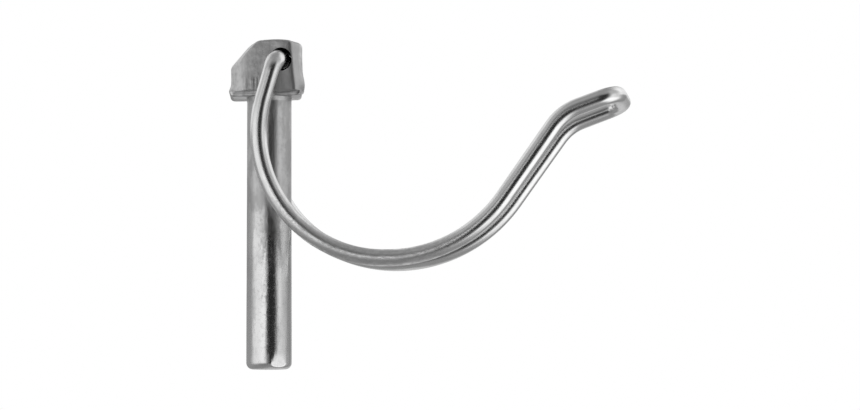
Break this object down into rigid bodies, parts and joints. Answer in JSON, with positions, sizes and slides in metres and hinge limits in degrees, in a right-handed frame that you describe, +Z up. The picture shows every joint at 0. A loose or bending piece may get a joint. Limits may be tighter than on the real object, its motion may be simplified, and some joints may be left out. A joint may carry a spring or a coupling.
{
  "type": "hitch pin lock",
  "caption": "Headed steel lock pin for a hitch or tube, with a sprung wire bail that hinges in the head and swings over the pin's tip to lock it.",
  "frame": {"origin": "middle of the seat under the head, on the shank's axis", "axes": "+Z up the shank to the head, +X towards the bail at rest, +Y along the hinge axis from the front limb to the rear limb"},
  "size_m": [0.0856, 0.0184, 0.0702],
  "materials": {
    "pin": "bright zinc plate on cold-headed steel, cloudy and lightly scuffed",
    "wire": "bright zinc plate on drawn spring wire"
  },
  "bodies": {
    "pin": {"lock_pin": "pin"},
    "bail": {"wire_bail": "wire"}
  },
  "joints": [
    {"name": "bail_swing", "type": "hinge", "parent": "pin", "child": "bail", "pos_m": [0.0028, 0, 0.0079], "axis": [0, 1, 0], "continuous": true}
  ]
}
